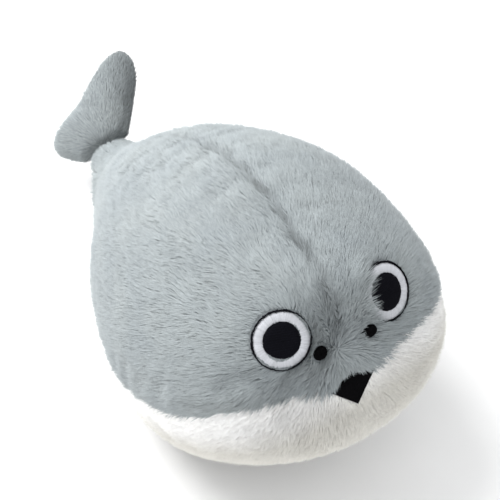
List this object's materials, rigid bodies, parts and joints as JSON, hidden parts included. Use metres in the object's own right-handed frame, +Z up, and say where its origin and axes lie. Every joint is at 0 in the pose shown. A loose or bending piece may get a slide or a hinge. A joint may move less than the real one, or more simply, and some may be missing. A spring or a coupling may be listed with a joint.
{
  "type": "plush fish",
  "caption": "Fat teardrop plush fish with grey pile back, white pile belly, embroidered round eyes and an upright stuffed tail fin that twists and swings.",
  "frame": {"origin": "on the surface that the fish lies on, under the middle of its bounding box", "axes": "+Y from the face to the tail, +Z up, +X to the fish's left"},
  "size_m": [0.2269, 0.41, 0.2284],
  "materials": {
    "grey_plush": "short grey pile, matt with a soft sheen",
    "white_plush": "short white pile, matt",
    "black_thread": "dense black satin stitch",
    "white_thread": "white satin stitch, slight sheen",
    "felt": "black felt, matt",
    "grey_thread": "polyester sewing thread",
    "fibre": "white polyester fibre fill",
    "backing": "non-woven embroidery backing"
  },
  "bodies": {
    "body": {"back_panel_left": "grey_plush", "back_panel_right": "grey_plush", "belly_panel": "white_plush", "body_stuffing": "fibre", "mouth_patch": "felt", "dorsal_seam": "grey_thread", "belly_seam_left": "grey_thread", "belly_seam_right_front": "grey_thread", "closing_seam": "grey_thread", "belly_seam_right_rear": "grey_thread", "eye_backing_left": "backing", "eye_rim_left": "black_thread", "eye_white_left": "white_thread", "eye_pupil_left": "black_thread", "nostril_left": "felt", "eye_backing_right": "backing", "eye_rim_right": "black_thread", "eye_white_right": "white_thread", "eye_pupil_right": "black_thread", "nostril_right": "felt"},
    "tail_root": {"tail_root_seam": "grey_thread"},
    "tail_fin": {"fin_panel_left": "grey_plush", "fin_panel_right": "grey_plush", "fin_stuffing": "fibre", "fin_edge_seam": "grey_thread"}
  },
  "joints": [
    {"name": "tail_twist", "type": "hinge", "parent": "body", "child": "tail_root", "pos_m": [0, 0.14764, 0.04692], "axis": [0, 0.9397, 0.342], "range_deg": [-60, 15], "stiffness_Nm_per_rad": 0.05},
    {"name": "tail_swing", "type": "hinge", "parent": "tail_root", "child": "tail_fin", "pos_m": [0, 0.15093, 0.04812], "axis": [0.8192, -0.1962, 0.539], "range_deg": [-40, 40], "stiffness_Nm_per_rad": 0.05}
  ]
}
